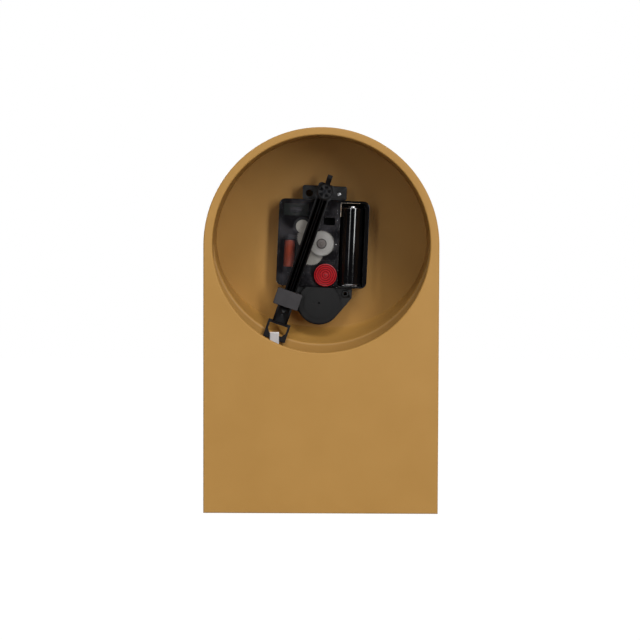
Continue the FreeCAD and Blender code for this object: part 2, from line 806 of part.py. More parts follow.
def battery_contact_plus():
    """A plate at the top of the bay, with a tab that turns down beside the battery."""
    z1 = dial_z + body_top - body_wall
    half = contact_width / 2
    plate = box(cell_x - half, cell_x + half, cell_y - half, cell_y + half, z1 - contact_thickness, z1)
    strap = box(cell_x + half, bay_divide_x, cell_y, cell_y + contact_tab_width, z1 - contact_thickness, z1)
    tab = box(bay_divide_x - contact_thickness, bay_divide_x, cell_y, cell_y + contact_tab_width,
              z1 - contact_tab_length, z1)
    return tilted(plate.fuse(strap).fuse(tab).removeSplitter())


def battery_contact_minus():
    """A plate at the foot of the bay, with a low ridge that presses on the battery."""
    z0 = dial_z - body_bottom + body_wall
    half = contact_width / 2
    plate = box(cell_x - half, cell_x + half, cell_y - half, cell_y + half, z0, z0 + contact_thickness)
    half_ridge = contact_ridge_width / 2
    z1 = z0 + contact_thickness
    ridge = prism([(cell_x - half_ridge, z1), (cell_x + half_ridge, z1), (cell_x, z1 + cell_from_wall)],
                  cell_y - half, cell_y + half)
    return tilted(plate.fuse(ridge).removeSplitter())


# Wheels

def wheel_with_pinion(place, wheel, pinion, shaft):
    """A toothed wheel and its pinion on one arbor; each is teeth, module, phase and two depths."""
    solid = gear(place, *wheel).fuse(gear(place, *pinion))
    return solid.fuse(disc(place[0], place[1], arbor_radius, shaft[0], shaft[1])).removeSplitter()


def minute_arbor():
    shaft = disc(0, dial_z, minute_arbor_radius, arbor_front_y, centre_y + wheel_thickness + clearance / 2)
    pinion = gear(dial_centre, cannon_teeth, motion_module, cannon_phase, intermediate_y - pinion_overlap,
                  intermediate_y + wheel_thickness + pinion_overlap)
    return tilted(shaft.fuse(pinion).removeSplitter())


def hour_wheel():
    wheel_back = hour_wheel_y + wheel_thickness
    wheel = gear(dial_centre, hour_teeth, hour_module, hour_phase, hour_wheel_y, wheel_back)
    pipe = disc(0, dial_z, hour_pipe_radius, pipe_front_y, wheel_back)
    bore = drill(0, dial_z, minute_arbor_radius + fit_gap, pipe_front_y,
                hour_wheel_y + wheel_thickness)
    return tilted(wheel.fuse(pipe).cut(bore).removeSplitter())


def intermediate_wheel():
    wheel = (intermediate_teeth, motion_module, intermediate_phase,
             intermediate_y, intermediate_y + wheel_thickness)
    pinion = (intermediate_pinion_teeth, hour_module, intermediate_pinion_phase,
              hour_wheel_y - pinion_overlap, intermediate_y)
    return tilted(wheel_with_pinion(intermediate_place, wheel, pinion, (floor_y + clearance / 2, train_y)))


def centre_wheel():
    wheel_back = centre_y + wheel_thickness
    wheel = gear(dial_centre, centre_teeth, centre_module, centre_phase, centre_y, wheel_back)
    bore = drill(0, dial_z, minute_arbor_radius + fit_gap, centre_y, centre_y + wheel_thickness)
    return tilted(wheel.cut(bore))


def third_wheel():
    wheel = (third_teeth, third_module, third_phase, third_y, third_y + wheel_thickness)
    pinion = (third_pinion_teeth, centre_module, third_pinion_phase, centre_y - pinion_overlap, third_y)
    return tilted(wheel_with_pinion(third_place, wheel, pinion, (middle_y, cover_y - clearance)))


def second_wheel():
    wheel = (second_teeth, reduction_module, second_phase, second_y, second_y + wheel_thickness)
    pinion = (second_pinion_teeth, third_module, second_pinion_phase, third_y - pinion_overlap, second_y)
    solid = wheel_with_pinion(dial_centre, wheel, pinion, (second_y, raised_y))
    hub = disc(0, dial_z, second_hub_radius, second_y, cover_y - clearance)
    return tilted(solid.fuse(hub).removeSplitter())


def reduction_wheel():
    wheel = (reduction_teeth, rotor_module, reduction_phase, reduction_y, reduction_y + wheel_thickness)
    pinion = (reduction_pinion_teeth, reduction_module, reduction_pinion_phase,
              reduction_y + wheel_thickness, second_y + wheel_thickness + pinion_overlap)
    return tilted(wheel_with_pinion(reduction_place, wheel, pinion, (middle_y, cover_y - clearance)))


def rotor_wheel():
    pinion = gear(rotor_place, rotor_teeth, rotor_module, rotor_phase, reduction_y - pinion_overlap,
                  reduction_y + wheel_thickness + pinion_overlap)
    flange = disc(rotor_place[0], rotor_place[1], rotor_disc_radius, second_y, second_y + wheel_thickness)
    x, z = rotor_place
    shaft = disc(x, z, arbor_radius, middle_y, cover_y - clearance)
    sleeve = disc(x, z, wheel_hub_radius / 2, train_y + clearance, second_y)
    return tilted(shaft.fuse(sleeve).fuse(pinion).fuse(flange).removeSplitter())


def rotor_magnet():
    x, z = rotor_place
    return tilted(ring(x, z, magnet_radius, wheel_hub_radius / 2, centre_y, third_y))


# Setting knob

def set_knob():
    y0 = cover_back_y + knob_over_cover
    y1 = y0 + knob_thickness
    x, z = knob_place
    step = 360.0 / knob_flutes
    points = []
    for index in range(knob_flutes):
        points.append(polar(x, z, knob_radius, index * step))
        points.append(polar(x, z, knob_radius - knob_flute_depth, (index + 0.5) * step))
    knob = prism(points, y0, y1)
    middle = knob_radius * knob_groove_radius_share
    half_groove = knob_groove_width / 2
    groove = disc(x, z, middle + half_groove, y1 - knob_groove_depth, y1 + overrun)
    knob = knob.cut(groove.cut(disc(x, z, middle - half_groove, y1 - knob_groove_depth, y1 + overrun)))
    return tilted(knob.fuse(disc(x, z, knob_nub_radius, y1, y1 + knob_nub_height)).removeSplitter())


def setting_shaft():
    x, z = knob_place
    shaft = disc(x, z, knob_shaft_radius, floor_y + clearance, cover_back_y + knob_over_cover)
    pinion = gear(knob_place, setting_teeth, motion_module, setting_phase, intermediate_y - pinion_overlap,
                  intermediate_y + wheel_thickness + pinion_overlap)
    return tilted(shaft.fuse(pinion).removeSplitter())


# Pendulum. The arm is drawn hanging straight down from the pivot and then leaned.

arm_pivot = tilted_place(pivot_place)


def leaned(shape):
    turned = shape.copy()
    turned.rotate(V(arm_pivot[0], 0, arm_pivot[1]), V(0, 1, 0), -arm_lean_angle)
    return turned


def leaned_place(down):
    return polar(arm_pivot[0], arm_pivot[1], down, 180.0 - arm_lean_angle)


box_top = box_down - box_length / 2
neck_top = box_down + box_length / 2
loop_top = neck_top + neck_length
loop_bottom = loop_top + loop_length
hook_bar_down = loop_bottom - hook_bar_height / 2
hook_place = leaned_place(hook_bar_down)


def arm_slab(half_top, half_bottom, down0, down1, y0, y1):
    """A straight or tapered bar along the arm, centred on it."""
    x, z = arm_pivot
    points = [(x - half_bottom, z - down1), (x + half_bottom, z - down1), (x + half_top, z - down0),
              (x - half_top, z - down0)]
    return prism(points, y0, y1)


def arm_rails(half_top, half_bottom, width, down0, down1, y0, y1):
    outer = arm_slab(half_top, half_bottom, down0, down1, y0, y1)
    inner = arm_slab(half_top - width, half_bottom - width, down0 - overrun, down1 + overrun,
                     y0 - overrun, y1 + overrun)
    return outer.cut(inner)


def arm_hub():
    x, z = arm_pivot
    half = hub_width / 2
    block = rounded_prism(x - half, x + half, z - half, z + half, hub_corner, hub_y, hub_back_y)
    block = block.fuse(disc(x, z, hub_boss_radius, hub_back_y, hub_top_y))
    for index in range(hub_pocket_count):
        start = (index - hub_pocket_width_share) * 360.0 / hub_pocket_count
        end = (index + hub_pocket_width_share) * 360.0 / hub_pocket_count
        points = [polar(x, z, hub_pocket_inner, start), polar(x, z, hub_pocket_outer, start),
                  polar(x, z, hub_pocket_outer, end), polar(x, z, hub_pocket_inner, end)]
        block = block.cut(prism(points, hub_top_y - hub_pocket_depth, hub_top_y + overrun))
    half_stub = stub_width / 2
    stub = arm_slab(half_stub, half_stub, -half - stub_length, -half, hub_y, hub_y + stub_thickness)
    return block.fuse(stub)


def hook_loop():
    """The open loop at the arm's foot, with thick lower corners and a bar that the rod hooks over."""
    x, z = arm_pivot
    y1 = loop_y + loop_thickness
    half = loop_width / 2
    outer = arm_slab(half, half, loop_top, loop_bottom, loop_y, y1)
    inside_top = loop_top + loop_top_bar
    inside_bottom = hook_bar_down - hook_bar_height / 2
    inner_half_width = half - loop_bar
    corner = loop_width * loop_corner_share
    flat = rod_width * loop_corner_share * 2
    points = [(x - inner_half_width, z - inside_top), (x + inner_half_width, z - inside_top),
              (x + inner_half_width, z - inside_bottom + corner / 2), (x + flat, z - inside_bottom),
              (x - flat, z - inside_bottom), (x - inner_half_width, z - inside_bottom + corner / 2)]
    return outer.cut(prism(points, loop_y - overrun, y1 + overrun))


def pendulum_arm():
    half = hub_width / 2
    half_top = arm_width_top / 2
    half_bottom = arm_width_bottom / 2
    web_back = arm_y + arm_web_thickness
    rail_back = arm_y + arm_rail_height
    arm = arm_hub()
    arm = arm.fuse(arm_slab(half_top, half_bottom, half, neck_top, arm_y, web_back))
    arm = arm.fuse(arm_rails(half_top, half_bottom, arm_rail_width, half, box_top, arm_y, rail_back))
    for side in (-1, 1):
        rib = arm_slab(arm_rib_width / 2, arm_rib_width / 2, half, box_top, web_back, rail_back)
        rib.translate(V(side * arm_rib_across / 2, 0, 0))
        arm = arm.fuse(rib)
    neck_half = neck_width / 2
    neck_back = loop_y + arm_web_thickness
    arm = arm.fuse(arm_slab(neck_half, neck_half, neck_top, loop_top, arm_y, neck_back))
    arm = arm.fuse(arm_rails(neck_half, neck_half, neck_rail_width, neck_top, loop_top, neck_back,
                             neck_back + neck_rail_height))
    dimple_z = arm_pivot[1] - (neck_top + loop_top) / 2
    arm = arm.cut(disc(arm_pivot[0], dimple_z, neck_dimple_radius, neck_back - neck_dimple_radius / 2,
                       neck_back + overrun))
    arm = arm.fuse(hook_loop())
    bore = drill(arm_pivot[0], arm_pivot[1], pivot_radius + fit_gap, hub_y, hub_top_y)
    return leaned(arm.cut(bore).removeSplitter())


def magnet_box():
    """A cup that clips over the arm and holds the drive magnet against its web."""
    x, z = arm_pivot
    web_back = arm_y + arm_web_thickness
    y1 = arm_y + box_depth
    half = box_width / 2
    cup = rounded_prism(x - half, x + half, z - neck_top, z - box_top, box_corner, arm_y, y1)
    hollow = arm_slab(half - box_wall, half - box_wall, box_top + box_wall, neck_top - box_wall,
                      web_back, y1 - box_wall)
    channel = arm_slab(arm_width_top / 2, arm_width_top / 2, box_top - overrun, neck_top + overrun,
                       arm_y - overrun, web_back)
    return leaned(cup.cut(hollow).cut(channel))


def arm_magnet():
    x, z = arm_pivot
    web_back = arm_y + arm_web_thickness
    half = box_width / 2 - box_wall - clearance
    inset = box_wall + clearance
    y1 = arm_y + box_depth - inset
    return leaned(arm_slab(half, half, box_top + inset, neck_top - inset, web_back, y1))


rod_front_y = loop_y + loop_thickness + hook_side_gap
rod_back_y = rod_front_y + rod_thickness
hook_front_y = loop_y - hook_side_gap - rod_thickness
hook_inside_z = hook_place[1] + hook_bar_height / 2 + hook_top_gap
hook_outside_z = hook_inside_z + rod_thickness
bob_z = sheet + (hook_place[1] - sheet) * bob_height_share
bob_y = (rod_front_y + rod_back_y) / 2
rod_foot_z = bob_z - bob_radius - rod_foot_gap


def pendulum_rod():
    """A flat strip, folded over the loop's bar, with a threaded stud at its foot."""
    x0 = hook_place[0] - rod_width / 2
    x1 = hook_place[0] + rod_width / 2
    strip = box(x0, x1, rod_front_y, rod_back_y, rod_foot_z, hook_outside_z)
    top = box(x0, x1, hook_front_y, rod_back_y, hook_inside_z, hook_outside_z)
    tail_z = hook_outside_z - hook_tail
    tail = box(x0, x1, hook_front_y, hook_front_y + rod_thickness, tail_z, hook_outside_z)
    hook = strip.fuse(top).fuse(tail).removeSplitter()
    bends = [e for e in hook.Edges if e.BoundBox.ZMin > hook_outside_z - rod_thickness / 2
             and e.BoundBox.XLength > rod_width / 2]
    hook = hook.makeFillet(rod_thickness * rod_bend_share, bends)
    stud = Part.makeCylinder(stud_radius, stud_length, V(hook_place[0], bob_y, rod_foot_z - stud_length))
    return hook.fuse(stud).removeSplitter()


def bob():
    """A lens with a narrow rim, bulged alike on both sides, and a slot for the strip."""
    half = bob_thickness / 2
    bulge = half - bob_rim_thickness / 2
    ball = (bob_radius ** 2 + bulge ** 2) / (2 * bulge)
    x = hook_place[0]
    lens = disc(x, bob_z, bob_radius, bob_y - half, bob_y + half)
    for side in (-1, 1):
        lens = lens.common(Part.makeSphere(ball, V(x, bob_y + side * (half - ball), bob_z)))
    gap = bob_slot_gap
    slot = box(x - rod_width / 2 - gap, x + rod_width / 2 + gap, rod_front_y - gap, rod_back_y + gap,
               bob_z - bob_radius - overrun, bob_z + bob_radius + overrun)
    return lens.cut(slot)


def rating_nut():
    """A milled nut on the stud; its outline is drawn flat and raised along the stud."""
    z0 = rod_foot_z - rod_foot_gap - rating_nut_thickness
    x = hook_place[0]
    corners = []
    for index in range(rating_nut_flutes * 2):
        radius = rating_nut_radius - rating_nut_flute_depth * (index % 2)
        across, along = polar(x, bob_y, radius, index * 180.0 / rating_nut_flutes)
        corners.append(V(across, along, z0))
    nut = Part.Face(Part.makePolygon(corners + corners[:1])).extrude(V(0, 0, rating_nut_thickness))
    bore = Part.makeCylinder(stud_radius, rating_nut_thickness + 2 * overrun, V(x, bob_y, z0 - overrun))
    return nut.cut(bore)


PIECES = (
    arch_band, base_plate, back_plate, front_panel, inner_shelf,
    hour_markers, hand_nut, nut_washer, rubber_washer, centre_bush,
    movement_housing, middle_plate, back_cover, pendulum_frame, drive_coil_cap, drive_coil, bracket_rivet,
    pivot_pin, stator, coil_bobbin, coil_winding, circuit_board, quartz_crystal,
    battery, battery_contact_plus, battery_contact_minus,
    minute_arbor, minute_hand, hour_wheel, hour_hand, intermediate_wheel, set_knob, setting_shaft,
    centre_wheel, third_wheel, second_wheel, reduction_wheel, rotor_wheel, rotor_magnet,
    pendulum_arm, magnet_box, arm_magnet, pendulum_rod, bob, rating_nut,
)


def main():
    os.makedirs(OUT, exist_ok=True)
    for piece in PIECES:
        shape = piece()
        shape.exportStep(os.path.join(OUT, piece.__name__ + ".step"))
        print(piece.__name__, len(shape.Solids), "solids,", round(shape.Volume, 1), "mm3,",
              "valid" if shape.isValid() else "not valid")


if __name__ == "__main__":
    main()
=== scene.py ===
import json
import math
import bmesh
import bpy
from mathutils import Matrix, Vector


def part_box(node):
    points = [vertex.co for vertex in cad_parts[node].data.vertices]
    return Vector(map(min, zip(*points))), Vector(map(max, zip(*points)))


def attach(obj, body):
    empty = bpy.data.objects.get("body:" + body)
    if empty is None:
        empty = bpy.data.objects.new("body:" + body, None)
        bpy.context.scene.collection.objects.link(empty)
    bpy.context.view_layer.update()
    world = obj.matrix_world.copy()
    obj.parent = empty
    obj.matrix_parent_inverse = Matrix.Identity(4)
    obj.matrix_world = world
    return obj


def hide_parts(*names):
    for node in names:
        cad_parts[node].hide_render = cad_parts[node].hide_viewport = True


# A round-topped shelf clock, seen from behind: an ochre powder coated case with a round hole in
# its back, and a quartz movement with its pendulum inside. Places on the clock, lamps and the
# camera are in metres. The sizes of patterns, edges and turned profiles are in millimetres.

MM = 0.001

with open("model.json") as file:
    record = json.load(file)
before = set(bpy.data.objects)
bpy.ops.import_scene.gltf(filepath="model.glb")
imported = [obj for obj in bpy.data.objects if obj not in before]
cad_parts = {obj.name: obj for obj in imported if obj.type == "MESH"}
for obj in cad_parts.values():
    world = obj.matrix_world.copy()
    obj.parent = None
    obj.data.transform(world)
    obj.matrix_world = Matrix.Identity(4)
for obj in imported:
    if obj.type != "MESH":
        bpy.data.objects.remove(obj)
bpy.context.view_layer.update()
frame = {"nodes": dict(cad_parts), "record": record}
nodes = frame["nodes"]


# Colours and nodes

def linear(hex_colour):
    """The linear values that a shader takes, from an sRGB hex colour."""
    channels = [int(hex_colour[start:start + 2], 16) / 255 for start in (1, 3, 5)]
    return [*(c / 12.92 if c <= 0.04045 else ((c + 0.055) / 1.055) ** 2.4 for c in channels), 1.0]


def put(tree, node, socket, value):
    """Sets one socket, to a value or to what another node gives."""
    if isinstance(value, bpy.types.NodeSocket):
        tree.links.new(value, node.inputs[socket])
    else:
        node.inputs[socket].default_value = value


def add(tree, kind, sockets=None, **settings):
    """Adds one node with its settings and what goes into its sockets."""
    node = tree.nodes.new(kind)
    for name, value in settings.items():
        setattr(node, name, value)
    for socket, value in (sockets or {}).items():
        put(tree, node, socket, value)
    return node


def calculate(tree, operation, *terms):
    """One step of arithmetic, on values or on what other nodes give."""
    return add(tree, "ShaderNodeMath", dict(enumerate(terms)), operation=operation).outputs[0]


def on_vectors(tree, operation, *terms):
    """One step of arithmetic on places."""
    return add(tree, "ShaderNodeVectorMath", dict(enumerate(terms)), operation=operation).outputs


# a mix node has sockets of one name for each kind of value, so they are told apart by their number

def mix_colours(tree, share, first, second):
    """The first colour where the share is 0, and the second where it is 1."""
    return add(tree, "ShaderNodeMix", {0: share, 6: first, 7: second}, data_type="RGBA").outputs[2]


def mix_values(tree, share, first, second):
    """The first value where the share is 0, and the second where it is 1."""
    return add(tree, "ShaderNodeMix", {0: share, 2: first, 3: second}).outputs[0]


def per(millimetres):
    """The texture scale that gives a pattern this size."""
    return 1 / (millimetres * MM)


def start_finish(name, **values):
    """A new material with its main shader; the values are set on the shader's own sockets."""
    material = bpy.data.materials.new(name)
    material.use_nodes = True
    tree = material.node_tree
    tree.nodes.clear()
    shader = add(tree, "ShaderNodeBsdfPrincipled")
    feed(tree, shader, **values)
    add(tree, "ShaderNodeOutputMaterial", {"Surface": shader.outputs["BSDF"]})
    return material, tree, shader


def place_in(tree, stretch=(1, 1, 1)):
    """Where a point is on the clock, stretched for patterns that run one way."""
    here = add(tree, "ShaderNodeTexCoord").outputs["Object"]
    return add(tree, "ShaderNodeMapping", {"Scale": stretch, "Vector": here}).outputs["Vector"]


def noise(tree, place, millimetres, detail=2.0, roughness=0.5):
    """Cloudy noise with patches of this size."""
    sockets = {"Scale": per(millimetres), "Detail": detail, "Roughness": roughness, "Vector": place}
    return add(tree, "ShaderNodeTexNoise", sockets).outputs["Fac"]


def spread(tree, source, low, high):
    """Maps a pattern from 0.3 to 0.7, where most of a noise lies, to a low and a high value."""
    sockets = {"From Min": 0.3, "From Max": 0.7, "To Min": low, "To Max": high, "Value": source}
    return add(tree, "ShaderNodeMapRange", sockets).outputs["Result"]


def tint(tree, source, dark, light):
    """A colour that a pattern moves between two shades."""
    return mix_colours(tree, source, linear(dark), linear(light))


def relief(tree, shader, source, height, before=None):
    """Lets a pattern raise the surface by a height in millimetres."""
    sockets = {"Distance": height * MM, "Height": source}
    if before:
        sockets["Normal"] = before
    normal = add(tree, "ShaderNodeBump", sockets).outputs["Normal"]
    feed(tree, shader, Normal=normal)
    return normal


def feed(tree, shader, **sockets):
    """Sets the shader's sockets, to values or to what other nodes give."""
    for socket, value in sockets.items():
        put(tree, shader, socket.replace("_", " "), value)


# Finishes

def powder_coat():
    """Polyester powder, baked on sheet steel: an even satin skin with a faint orange peel."""
    material, tree, shader = start_finish("powder_coat", Roughness=0.5, Specular_IOR_Level=0.35)
    place = place_in(tree)
    cloud = spread(tree, noise(tree, place, 28), 0, 1)
    peel = noise(tree, place, 2.2, 3)
    # the grain of the powder is finer than this; it is drawn as coarse as the picture can show
    grain = noise(tree, place, 0.7, 1)
    feed(tree, shader, Base_Color=tint(tree, cloud, "#AC803E", "#B08442"),
         Roughness=spread(tree, peel, 0.46, 0.54))
    first = relief(tree, shader, peel, 0.018)
    relief(tree, shader, grain, 0.012, first)
    return material


def black_abs():
    """Moulded ABS in black, polished in the mould: deep and glossy."""
    material, tree, shader = start_finish("moulded_black_abs", Specular_IOR_Level=0.28)
    place = place_in(tree)
    skin = noise(tree, place, 0.8, 2)
    flow = spread(tree, noise(tree, place, 9), 0, 1)
    feed(tree, shader, Base_Color=tint(tree, flow, "#0A0A0B", "#0F0F10"),
         Roughness=spread(tree, skin, 0.13, 0.2))
    relief(tree, shader, skin, 0.006)
    return material


def matt_black_abs(name, deep, light):
    """Black ABS from a spark-eroded mould: a fine matt skin that greys a little in the light."""
    material, tree, shader = start_finish(name, Specular_IOR_Level=0.3)
    place = place_in(tree)
    skin = noise(tree, place, 0.45, 3)
    flow = spread(tree, noise(tree, place, 12), 0, 1)
    feed(tree, shader, Base_Color=tint(tree, flow, deep, light),
         Roughness=spread(tree, skin, 0.42, 0.55))
    relief(tree, shader, skin, 0.012)
    return material


def grey_polyamide():
    """Moulded polyamide, filled and matt: a dry dark grey with no shine of its own."""
    material, tree, shader = start_finish("moulded_grey_polyamide", Specular_IOR_Level=0.3)
    place = place_in(tree)
    skin = noise(tree, place, 0.4, 3)
    flow = spread(tree, noise(tree, place, 6), 0, 1)
    feed(tree, shader, Base_Color=tint(tree, flow, "#323032", "#3A383A"),
         Roughness=spread(tree, skin, 0.5, 0.64))
    relief(tree, shader, skin, 0.015)
    return material


def smoked_styrene():
    """Smoked clear polystyrene, polished in the mould: dark and glossy, with the wheels behind it."""
    material, tree, shader = start_finish("smoked_polystyrene", IOR=1.59, Alpha=0.24)
    place = place_in(tree)
    haze = noise(tree, place, 9, 2)
    smoke = spread(tree, haze, -0.6, 1.6)
    feed(tree, shader, Base_Color=tint(tree, smoke, "#242225", "#535155"),
         Roughness=spread(tree, haze, 0.07, 0.13))
    relief(tree, shader, noise(tree, place, 14, 1), 0.03)
    return material


ACETAL_IOR = 1.48


def white_acetal():
    """Natural acetal, moulded: milky white, slightly waxy."""
    material, tree, shader = start_finish("moulded_white_acetal", IOR=ACETAL_IOR)
    place = place_in(tree)
    skin = noise(tree, place, 0.6, 2)
    milk = spread(tree, noise(tree, place, 4), 0, 1)
    feed(tree, shader, Base_Color=tint(tree, milk, "#D8D4C8", "#E6E2D8"),
         Roughness=spread(tree, skin, 0.4, 0.5))
    relief(tree, shader, skin, 0.006)
    return material


def reach_from_axis(tree, place, name):
    """How far a point lies from the axis of a round node, which runs front to back."""
    low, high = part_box(name)
    arm = on_vectors(tree, "SUBTRACT", place, (low + high) / 2)["Vector"]
    flat = on_vectors(tree, "MULTIPLY", arm, (1, 0, 1))["Vector"]
    return on_vectors(tree, "LENGTH", flat)["Value"]


WHEEL_RAMP_REACH = 8.0
# the share of that reach, and the colour there: the greyer hub and the dark ring, painted shade where
# the cover's boss stands in front, and then the wheel
WHEEL_PAINTED_SHADE_COLOURS = ((0.1, "#7E756E"), (0.17, "#968D86"), (0.32, "#9C948D"), (0.35, "#3A3431"),
                 (0.39, "#3A3431"), (0.43, "#E2DFD8"))


def acetal_with_painted_boss_shade():
    """Acetal of the wheel that shows most, with the cover boss's shade painted on: a greyer hub, a dark
    ring.
    """
    material, tree, shader = start_finish("white_acetal_painted_boss_shade", IOR=ACETAL_IOR)
    place = place_in(tree)
    reach = reach_from_axis(tree, place, "second_wheel")
    sockets = {"From Max": WHEEL_RAMP_REACH * MM, "Value": reach}
    band = add(tree, "ShaderNodeMapRange", sockets).outputs["Result"]
    ramp = add(tree, "ShaderNodeValToRGB", {"Fac": band})
    # painted shade, darkest at the centre behind the cover's boss; at the rim the wheel's own white
    ramp.color_ramp.elements[0].color = linear("#5F5650")
    ramp.color_ramp.elements[1].color = linear("#ECEAE4")
    for share, colour in WHEEL_PAINTED_SHADE_COLOURS:
        ramp.color_ramp.elements.new(share).color = linear(colour)
    feed(tree, shader, Base_Color=ramp.outputs["Color"],
         Roughness=spread(tree, noise(tree, place, 0.6), 0.4, 0.5))
    return material


KNOB_RING_PITCH = 1.4


def red_abs():
    """Moulded ABS in signal red, in fine rings, with painted shade darkening each groove between the
    crests.
    """
    material, tree, shader = start_finish("moulded_red_abs", Specular_IOR_Level=0.35)
    place = place_in(tree)
    skin = noise(tree, place, 0.8, 2)
    reach = reach_from_axis(tree, place, "set_knob")
    turn = calculate(tree, "MULTIPLY", reach, per(KNOB_RING_PITCH) * math.tau)
    wave = calculate(tree, "COSINE", turn)
    painted_groove_shade = add(tree, "ShaderNodeMapRange", {"From Min": -1.0, "From Max": 1.0, "Value": wave})
    # painted shade: the red is darkest in each groove of the rings and full on their crests
    feed(tree, shader, Base_Color=tint(tree, painted_groove_shade.outputs["Result"], "#5A0108", "#B40815"),
         Roughness=spread(tree, skin, 0.3, 0.4))
    relief(tree, shader, skin, 0.008)
    return material


def enamelled_copper():
    """Copper wire in clear enamel, wound close: bands round the winding, painted sheen on each turn,
    painted shade between.
    """
    material, tree, shader = start_finish("enamelled_copper", Metallic=0.35)
    place = place_in(tree)
    # the real wire is far finer; its turns are drawn 0.35 mm apart so that they show
    sockets = {"Scale": per(0.35) / math.tau, "Distortion": 0.6, "Detail": 1.0, "Vector": place}
    turns_and_painted_sheen = add(tree, "ShaderNodeTexWave", sockets, bands_direction="Z").outputs["Fac"]
    # painted sheen and shade: each turn's crest lighter, the hollow between turns darker
    feed(tree, shader, Base_Color=tint(tree, turns_and_painted_sheen, "#C24A2A", "#E87850"),
         Roughness=spread(tree, noise(tree, place, 1.2), 0.28, 0.4))
    relief(tree, shader, turns_and_painted_sheen, 0.05)
    return material


def plated_steel():
    """Stamped steel with a bright zinc plate: cool grey, faintly clouded."""
    material, tree, shader = start_finish("zinc_plated_steel", Metallic=1.0)
    place = place_in(tree)
    cloud = noise(tree, place, 1.5, 3)
    feed(tree, shader, Base_Color=tint(tree, spread(tree, cloud, 0, 1), "#A9AAAE", "#C9CACC"),
         Roughness=spread(tree, cloud, 0.22, 0.36))
    return material


def blackened_steel():
    """Oiled black steel: the pin that the pendulum hangs on."""
    material, tree, shader = start_finish("blackened_steel", Metallic=1.0)
    cloud = noise(tree, place_in(tree), 0.8, 3)
    feed(tree, shader, Base_Color=tint(tree, spread(tree, cloud, 0, 1), "#232325", "#343437"),
         Roughness=spread(tree, cloud, 0.3, 0.45))
    return material


def tinned_brass():
    """Stamped brass under a thin coat of tin, which is worn where the battery slides."""
    material, tree, shader = start_finish("tinned_brass", Metallic=1.0)
    wear = spread(tree, noise(tree, place_in(tree), 2.5, 3), 0, 1)
    feed(tree, shader, Base_Color=tint(tree, wear, "#D9D3C8", "#C4A283"),
         Roughness=spread(tree, wear, 0.25, 0.4))
    return material


def bright_strip():
    """Rolled bright steel strip: fine lines along it that streak the reflections."""
    material, tree, shader = start_finish("rolled_bright_strip", Metallic=0.6)
    place = place_in(tree, (1, 1, 0.04))
    # rolling marks are a few microns wide; they are drawn 0.3 mm wide so that they show
    lines = noise(tree, place, 0.3, 2)
    feed(tree, shader, Base_Color=tint(tree, lines, "#F0F0F2", "#FAFAFB"),
         Roughness=spread(tree, lines, 0.32, 0.44))
    relief(tree, shader, lines, 0.004)
    return material


def spun_steel():
    """Brushed stainless steel: rings of fine lines round the bob's centre."""
    material, tree, shader = start_finish("brushed_stainless", Metallic=1.0)
    low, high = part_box("bob")
    here = add(tree, "ShaderNodeTexCoord").outputs["Object"]
    arm = on_vectors(tree, "SUBTRACT", here, (low + high) / 2)["Vector"]
    reach = on_vectors(tree, "LENGTH", arm)["Value"]
    # brushing lines are drawn 0.4 mm apart so that they show
    sockets = {"W": reach, "Scale": per(0.4), "Detail": 2.0}
    rings = add(tree, "ShaderNodeTexNoise", sockets, noise_dimensions="1D").outputs["Fac"]
    feed(tree, shader, Base_Color=tint(tree, rings, "#A8A9AC", "#C8C9CB"),
         Roughness=spread(tree, rings, 0.2, 0.34))
    relief(tree, shader, rings, 0.004)
    return material


def dull_tin():
    """Tinned steel sheet that has gone grey."""
    material, tree, shader = start_finish("dull_tin", Metallic=0.7)
    cloud = spread(tree, noise(tree, place_in(tree), 2, 2), 0, 1)
    feed(tree, shader, Base_Color=tint(tree, cloud, "#3E3F41", "#4C4D50"),
         Roughness=spread(tree, cloud, 0.55, 0.65))
    return material


def turned_brass():
    """Turned brass, left bare: yellow, with the tool's fine marks."""
    material, tree, shader = start_finish("turned_brass", Metallic=1.0)
    place = place_in(tree, (1, 12, 1))
    marks = noise(tree, place, 0.8, 2)
    feed(tree, shader, Base_Color=tint(tree, marks, "#B08C46", "#D2B064"),
         Roughness=spread(tree, marks, 0.22, 0.34))
    return material


CELL_BARE_TOP = 1.9
CELL_BARE_FOOT = 0.9


def battery_jacket():
    """Plain black shrink film over the can: wet gloss, with bare metal at the two ends."""
    material, tree, shader = start_finish("shrink_film_and_can")
    low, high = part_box("battery")
    place = place_in(tree)
    height = add(tree, "ShaderNodeSeparateXYZ", {0: place}).outputs["Z"]
    top = calculate(tree, "GREATER_THAN", height, high.z - CELL_BARE_TOP * MM)
    foot = calculate(tree, "LESS_THAN", height, low.z + CELL_BARE_FOOT * MM)
    bare = calculate(tree, "MAXIMUM", top, foot)
    film = tint(tree, spread(tree, noise(tree, place, 7), 0, 1), "#070708", "#0D0D0F")
    gloss = spread(tree, noise(tree, place, 3), 0.07, 0.12)
    feed(tree, shader, Base_Color=mix_colours(tree, bare, film, linear("#BDBDBF")), Metallic=bare,
         Roughness=mix_values(tree, bare, gloss, 0.28))
    return material


def satin_black_paint():
    """Stoved black paint on the hands and markers: flat and even."""
    material, tree, shader = start_finish("stoved_black_paint", Specular_IOR_Level=0.35)
    skin = noise(tree, place_in(tree), 0.6, 2)
    feed(tree, shader, Base_Color=tint(tree, skin, "#121212", "#1A1A1A"),
         Roughness=spread(tree, skin, 0.42, 0.55))
    relief(tree, shader, skin, 0.008)
    return material


def nitrile_rubber():
    """Moulded nitrile rubber: dull black with a dusty bloom."""
    material, tree, shader = start_finish("nitrile_rubber", Specular_IOR_Level=0.25)
    bloom = noise(tree, place_in(tree), 1.5, 3)
    feed(tree, shader, Base_Color=tint(tree, bloom, "#151515", "#222222"),
         Roughness=spread(tree, bloom, 0.65, 0.8))
    relief(tree, shader, bloom, 0.02)
    return material


